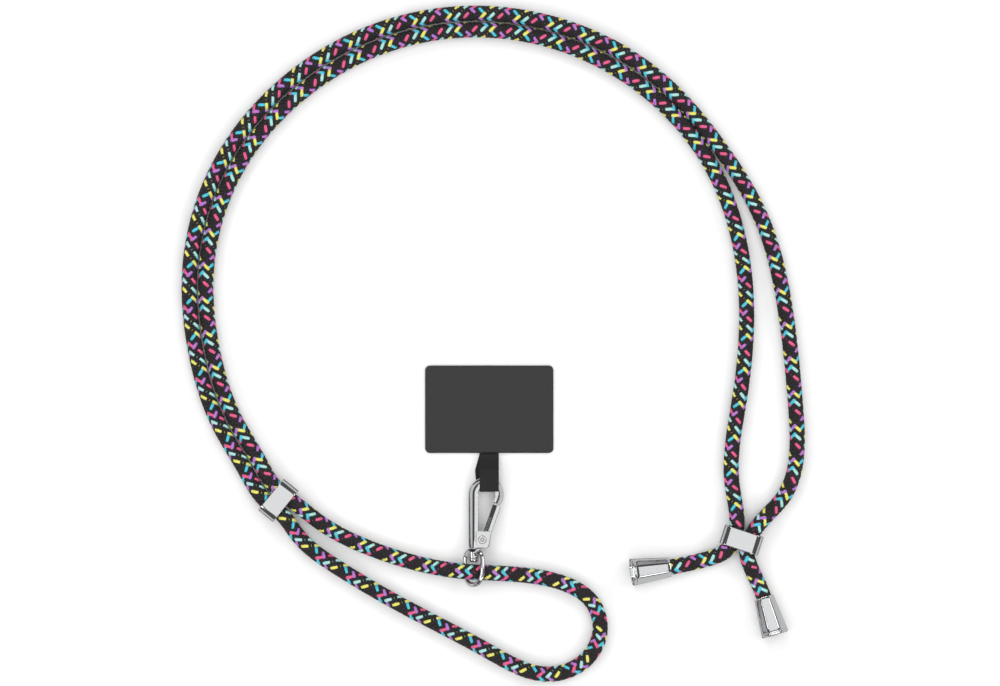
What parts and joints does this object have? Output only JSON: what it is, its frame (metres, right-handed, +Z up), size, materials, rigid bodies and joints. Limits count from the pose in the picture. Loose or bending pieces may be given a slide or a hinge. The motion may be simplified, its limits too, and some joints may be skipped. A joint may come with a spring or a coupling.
{
  "type": "phone crossbody strap",
  "caption": "Phone crossbody strap: braided cord run double through flat metal sliders, flared end caps, a swivel trigger snap hook and a patch with a webbing tab.",
  "frame": {"origin": "middle of the patch's underside, on the surface that the strap lies on", "axes": "+Z up, +Y from the hook towards the patch, +X towards the cord's two ends"},
  "size_m": [0.2592, 0.2816, 0.0112],
  "materials": {
    "braid": "braided polyester, black with coloured yarns",
    "chrome": "polished plating on zinc alloy",
    "webbing": "black woven webbing",
    "patch_cloth": "charcoal woven cloth on a stiff sheet"
  },
  "bodies": {
    "strap": {"cord": "braid", "slider_left": "chrome", "slider_right": "chrome", "end_cap_a": "chrome", "end_cap_b": "chrome", "swivel_eye": "chrome"},
    "hook": {"hook_frame": "chrome", "hook_rivet": "chrome", "tether_tab": "webbing", "patch_plate": "patch_cloth"},
    "gate": {"hook_gate": "chrome"}
  },
  "joints": [
    {"name": "hook_swivel", "type": "hinge", "parent": "strap", "child": "hook", "pos_m": [-0.0064, -0.0675, 0.0057], "axis": [0, 0.998, -0.0631], "continuous": true},
    {"name": "gate_hinge", "type": "hinge", "parent": "hook", "child": "gate", "pos_m": [-0.0029, -0.05433, 0.00487], "axis": [0, 0.0631, 0.998], "range_deg": [0, 20], "stiffness_Nm_per_rad": 0.02, "springref_deg": -17.19}
  ]
}
